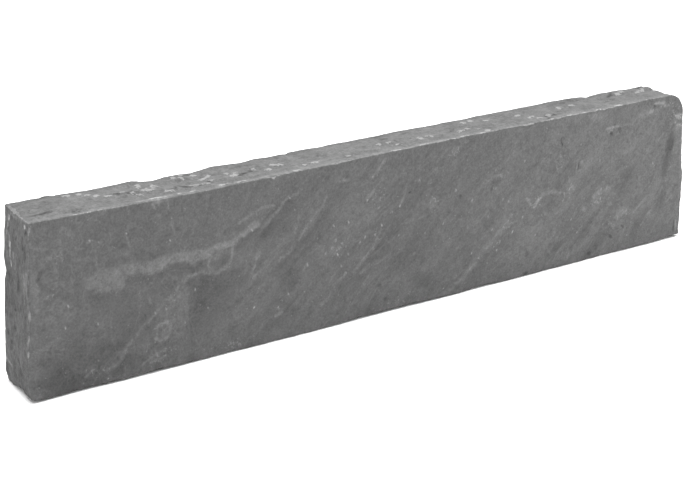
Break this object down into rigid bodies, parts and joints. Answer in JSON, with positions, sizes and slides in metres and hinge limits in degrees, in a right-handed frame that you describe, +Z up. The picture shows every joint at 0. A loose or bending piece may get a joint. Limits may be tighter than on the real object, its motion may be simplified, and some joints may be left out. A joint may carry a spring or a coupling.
{
  "type": "sandstone paving slab",
  "caption": "Long, low slab of grey riven sandstone that edges or paves a path, standing on a hewn long side, with one worn top corner.",
  "frame": {"origin": "on the ground under the middle of the slab, with the slab standing on a long narrow side", "axes": "+X along the slab towards the worn top corner, -Y out of the riven front face, +Z up"},
  "size_m": [1.0174, 0.0842, 0.2081],
  "materials": {
    "sandstone": "dry, matt, riven front and back, hewn top, ends and base, paler where freshly broken"
  },
  "bodies": {
    "root": {"sandstone_slab": "sandstone"}
  },
  "joints": []
}
